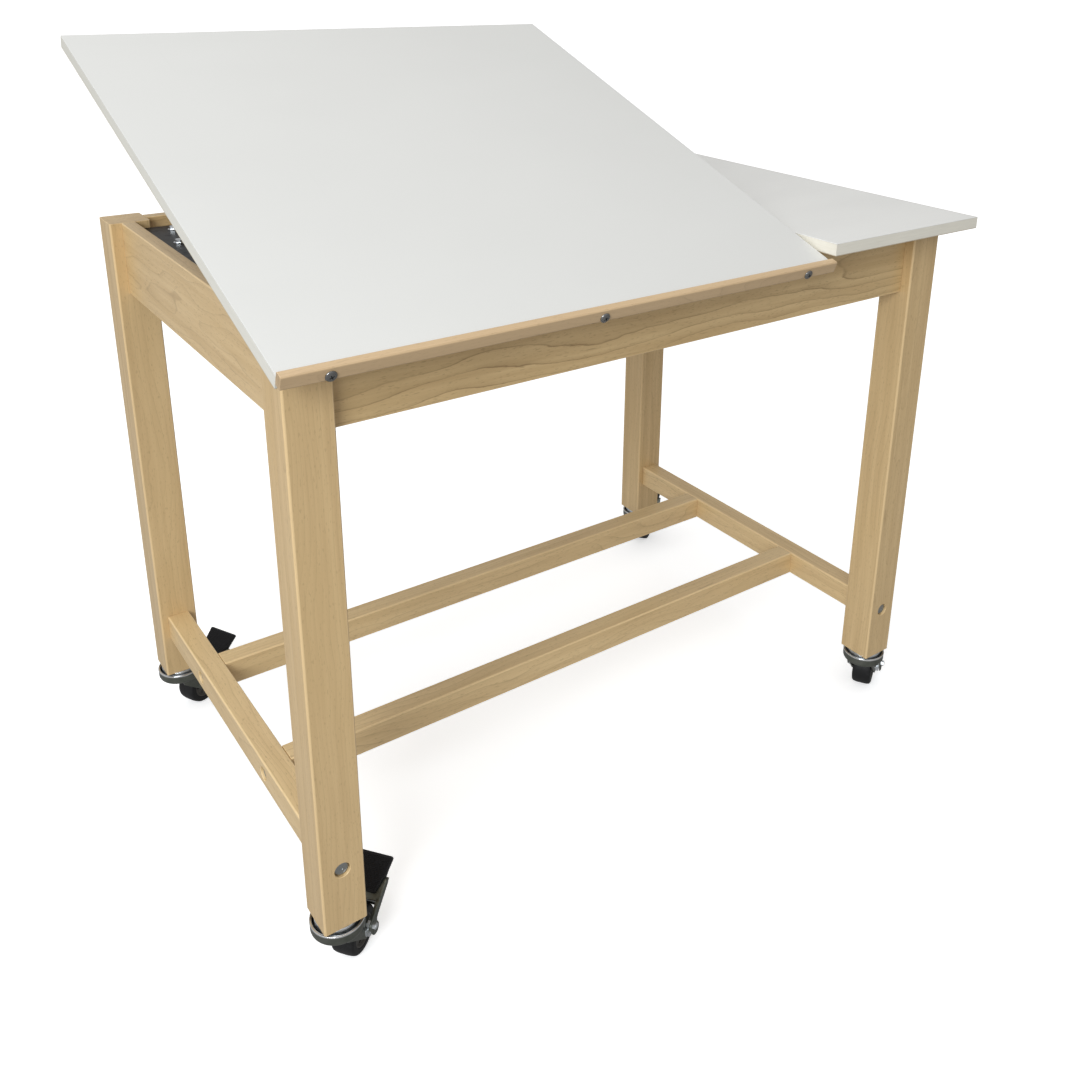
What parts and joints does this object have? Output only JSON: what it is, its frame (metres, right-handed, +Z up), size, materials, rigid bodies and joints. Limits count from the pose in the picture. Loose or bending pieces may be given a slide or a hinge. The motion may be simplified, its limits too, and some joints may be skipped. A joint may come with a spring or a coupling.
{
  "type": "drafting table",
  "caption": "Mobile drafting table with a hinged drawing board, a fixed side worktop, a wood frame with stretchers and braked swivel casters.",
  "frame": {"origin": "on the floor, under the middle of the whole table's footprint at rest, with the casters trailing to the right and back", "axes": "+X to the right along the front edge, +Y to the back, +Z up"},
  "size_m": [1.1254, 0.7974, 1.0977],
  "materials": {
    "maple": "clear satin lacquer on pale maple",
    "white_laminate": "smooth warm white laminate over particle board",
    "black_steel": "semi-gloss black enamel",
    "zinc_steel": "bright zinc plate",
    "gunmetal_steel": "grey-green plated pressed steel",
    "black_rubber": "smooth black tyre",
    "black_plastic": "ribbed black plastic"
  },
  "bodies": {
    "frame": {"apron_front": "maple", "apron_left": "maple", "apron_rear": "maple", "apron_right": "maple", "fixed_top": "white_laminate", "hinge_frame_leaf": "zinc_steel", "leg_bolt_front_left": "zinc_steel", "leg_bolt_front_right": "zinc_steel", "leg_bolt_rear_left": "zinc_steel", "leg_bolt_rear_right": "zinc_steel", "leg_front_left": "maple", "leg_front_right": "maple", "leg_rear_left": "maple", "leg_rear_right": "maple", "lift_rail_left": "black_steel", "lift_rail_right": "black_steel", "long_stretcher_front": "maple", "long_stretcher_rear": "maple", "side_stretcher_left": "maple", "side_stretcher_right": "maple", "split_rail": "maple", "stretcher_bolt_front_left": "zinc_steel", "stretcher_bolt_front_right": "zinc_steel", "stretcher_bolt_rear_left": "zinc_steel", "stretcher_bolt_rear_right": "zinc_steel", "swivel_stem_front_left": "zinc_steel", "swivel_stem_front_right": "zinc_steel", "swivel_stem_rear_left": "zinc_steel", "swivel_stem_rear_right": "zinc_steel"},
    "board": {"drawing_board": "white_laminate", "pencil_ledge": "maple", "ledge_screw_left": "zinc_steel", "ledge_screw_middle": "zinc_steel", "ledge_screw_right": "zinc_steel", "hinge_board_leaf": "zinc_steel", "tilt_quadrant_left": "black_steel", "tilt_quadrant_right": "black_steel"},
    "clamp_lever_left": {"clamp_lever_left": "zinc_steel"},
    "clamp_lever_right": {"clamp_lever_right": "zinc_steel"},
    "fork_front_left": {"caster_fork_front_left": "gunmetal_steel", "wheel_axle_front_left": "zinc_steel"},
    "wheel_front_left": {"caster_wheel_front_left": "black_rubber"},
    "pedal_front_left": {"brake_pedal_front_left": "gunmetal_steel", "pedal_pad_front_left": "black_plastic"},
    "fork_front_right": {"caster_fork_front_right": "gunmetal_steel", "wheel_axle_front_right": "zinc_steel"},
    "wheel_front_right": {"caster_wheel_front_right": "black_rubber"},
    "pedal_front_right": {"brake_pedal_front_right": "gunmetal_steel", "pedal_pad_front_right": "black_plastic"},
    "fork_rear_left": {"caster_fork_rear_left": "gunmetal_steel", "wheel_axle_rear_left": "zinc_steel"},
    "wheel_rear_left": {"caster_wheel_rear_left": "black_rubber"},
    "pedal_rear_left": {"brake_pedal_rear_left": "gunmetal_steel", "pedal_pad_rear_left": "black_plastic"},
    "fork_rear_right": {"caster_fork_rear_right": "gunmetal_steel", "wheel_axle_rear_right": "zinc_steel"},
    "wheel_rear_right": {"caster_wheel_rear_right": "black_rubber"},
    "pedal_rear_right": {"brake_pedal_rear_right": "gunmetal_steel", "pedal_pad_rear_right": "black_plastic"}
  },
  "joints": [
    {"name": "board_tilt", "type": "hinge", "parent": "frame", "child": "board", "pos_m": [-0.02591, -0.31626, 0.8435], "axis": [1, 0, 0], "range_deg": [-20, 15]},
    {"name": "clamp_left", "type": "hinge", "parent": "frame", "child": "clamp_lever_left", "pos_m": [-0.39621, -0.24265, 0.801], "axis": [1, 0, 0], "range_deg": [-60, 0]},
    {"name": "clamp_right", "type": "hinge", "parent": "frame", "child": "clamp_lever_right", "pos_m": [0.07899, -0.24265, 0.801], "axis": [1, 0, 0], "range_deg": [-60, 0]},
    {"name": "swivel_front_left", "type": "hinge", "parent": "frame", "child": "fork_front_left", "pos_m": [-0.51391, -0.30876, 0.07], "axis": [0, 0, 1], "continuous": true},
    {"name": "wheel_spin_front_left", "type": "hinge", "parent": "fork_front_left", "child": "wheel_front_left", "pos_m": [-0.48675, -0.2883, 0.03175], "axis": [-0.6018, 0.7986, 0], "continuous": true},
    {"name": "brake_front_left", "type": "hinge", "parent": "fork_front_left", "child": "pedal_front_left", "pos_m": [-0.48596, -0.2877, 0.043], "axis": [-0.6018, 0.7986, 0], "range_deg": [0, 12]},
    {"name": "swivel_front_right", "type": "hinge", "parent": "frame", "child": "fork_front_right", "pos_m": [0.46209, -0.30876, 0.07], "axis": [0, 0, 1], "continuous": true},
    {"name": "wheel_spin_front_right", "type": "hinge", "parent": "fork_front_right", "child": "wheel_front_right", "pos_m": [0.49124, -0.29125, 0.03175], "axis": [-0.515, 0.8572, 0], "continuous": true},
    {"name": "brake_front_right", "type": "hinge", "parent": "fork_front_right", "child": "pedal_front_right", "pos_m": [0.49209, -0.29074, 0.043], "axis": [-0.515, 0.8572, 0], "range_deg": [0, 12]},
    {"name": "swivel_rear_left", "type": "hinge", "parent": "frame", "child": "fork_rear_left", "pos_m": [-0.51391, 0.31624, 0.07], "axis": [0, 0, 1], "continuous": true},
    {"name": "wheel_spin_rear_left", "type": "hinge", "parent": "fork_rear_left", "child": "wheel_rear_left", "pos_m": [-0.48361, 0.33167, 0.03175], "axis": [-0.454, 0.891, 0], "continuous": true},
    {"name": "brake_rear_left", "type": "hinge", "parent": "fork_rear_left", "child": "pedal_rear_left", "pos_m": [-0.48272, 0.33213, 0.043], "axis": [-0.454, 0.891, 0], "range_deg": [0, 12]},
    {"name": "swivel_rear_right", "type": "hinge", "parent": "frame", "child": "fork_rear_right", "pos_m": [0.46209, 0.31624, 0.07], "axis": [0, 0, 1], "continuous": true},
    {"name": "wheel_spin_rear_right", "type": "hinge", "parent": "fork_rear_right", "child": "wheel_rear_right", "pos_m": [0.48925, 0.3367, 0.03175], "axis": [-0.6018, 0.7986, 0], "continuous": true},
    {"name": "brake_rear_right", "type": "hinge", "parent": "fork_rear_right", "child": "pedal_rear_right", "pos_m": [0.49005, 0.3373, 0.043], "axis": [-0.6018, 0.7986, 0], "range_deg": [0, 12]}
  ]
}
